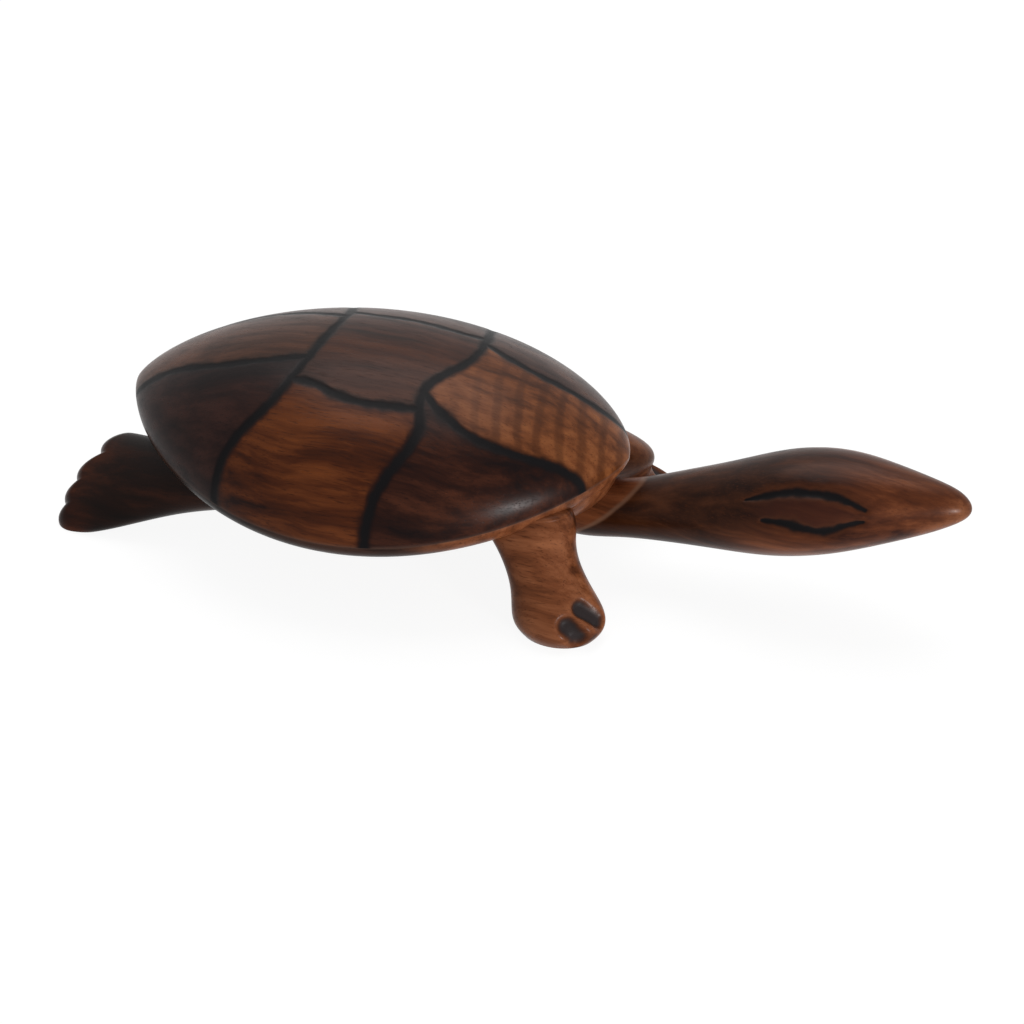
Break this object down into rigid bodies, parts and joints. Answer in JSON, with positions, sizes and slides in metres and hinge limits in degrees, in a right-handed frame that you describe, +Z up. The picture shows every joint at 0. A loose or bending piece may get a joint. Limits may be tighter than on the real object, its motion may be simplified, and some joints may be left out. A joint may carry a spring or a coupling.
{
  "type": "turtle figurine",
  "caption": "Carved wooden turtle figurine: oval domed shell scored into scutes by burnt grooves, long raised neck and head, splayed feet it stands on.",
  "frame": {"origin": "on the ground plane under the feet, at the middle of the overall length and width", "axes": "+X to the snout, +Y to the turtle's left, +Z up"},
  "size_m": [0.1042, 0.0424, 0.0242],
  "materials": {
    "light_wood": "waxed, satin gloss, orange brown with dark bars",
    "mid_wood": "waxed, satin gloss, mid brown with lengthwise grain",
    "dark_wood": "waxed, satin gloss, dark reddish brown heartwood",
    "burnt_wood": "charcoal dark, as if burnt in, dull sheen"
  },
  "bodies": {
    "root": {"shell_block": "burnt_wood", "belly": "mid_wood", "neck_and_head": "mid_wood", "front_right_leg": "light_wood", "front_left_leg": "light_wood", "hind_right_leg": "dark_wood", "hind_left_leg": "dark_wood", "scute_right_rear": "dark_wood", "scute_center_rear": "mid_wood", "scute_left_rear": "dark_wood", "scute_right_middle": "light_wood", "scute_center_middle": "mid_wood", "scute_left_middle": "mid_wood", "scute_right_front": "dark_wood", "scute_center_front": "light_wood", "scute_left_front": "mid_wood"}
  },
  "joints": []
}
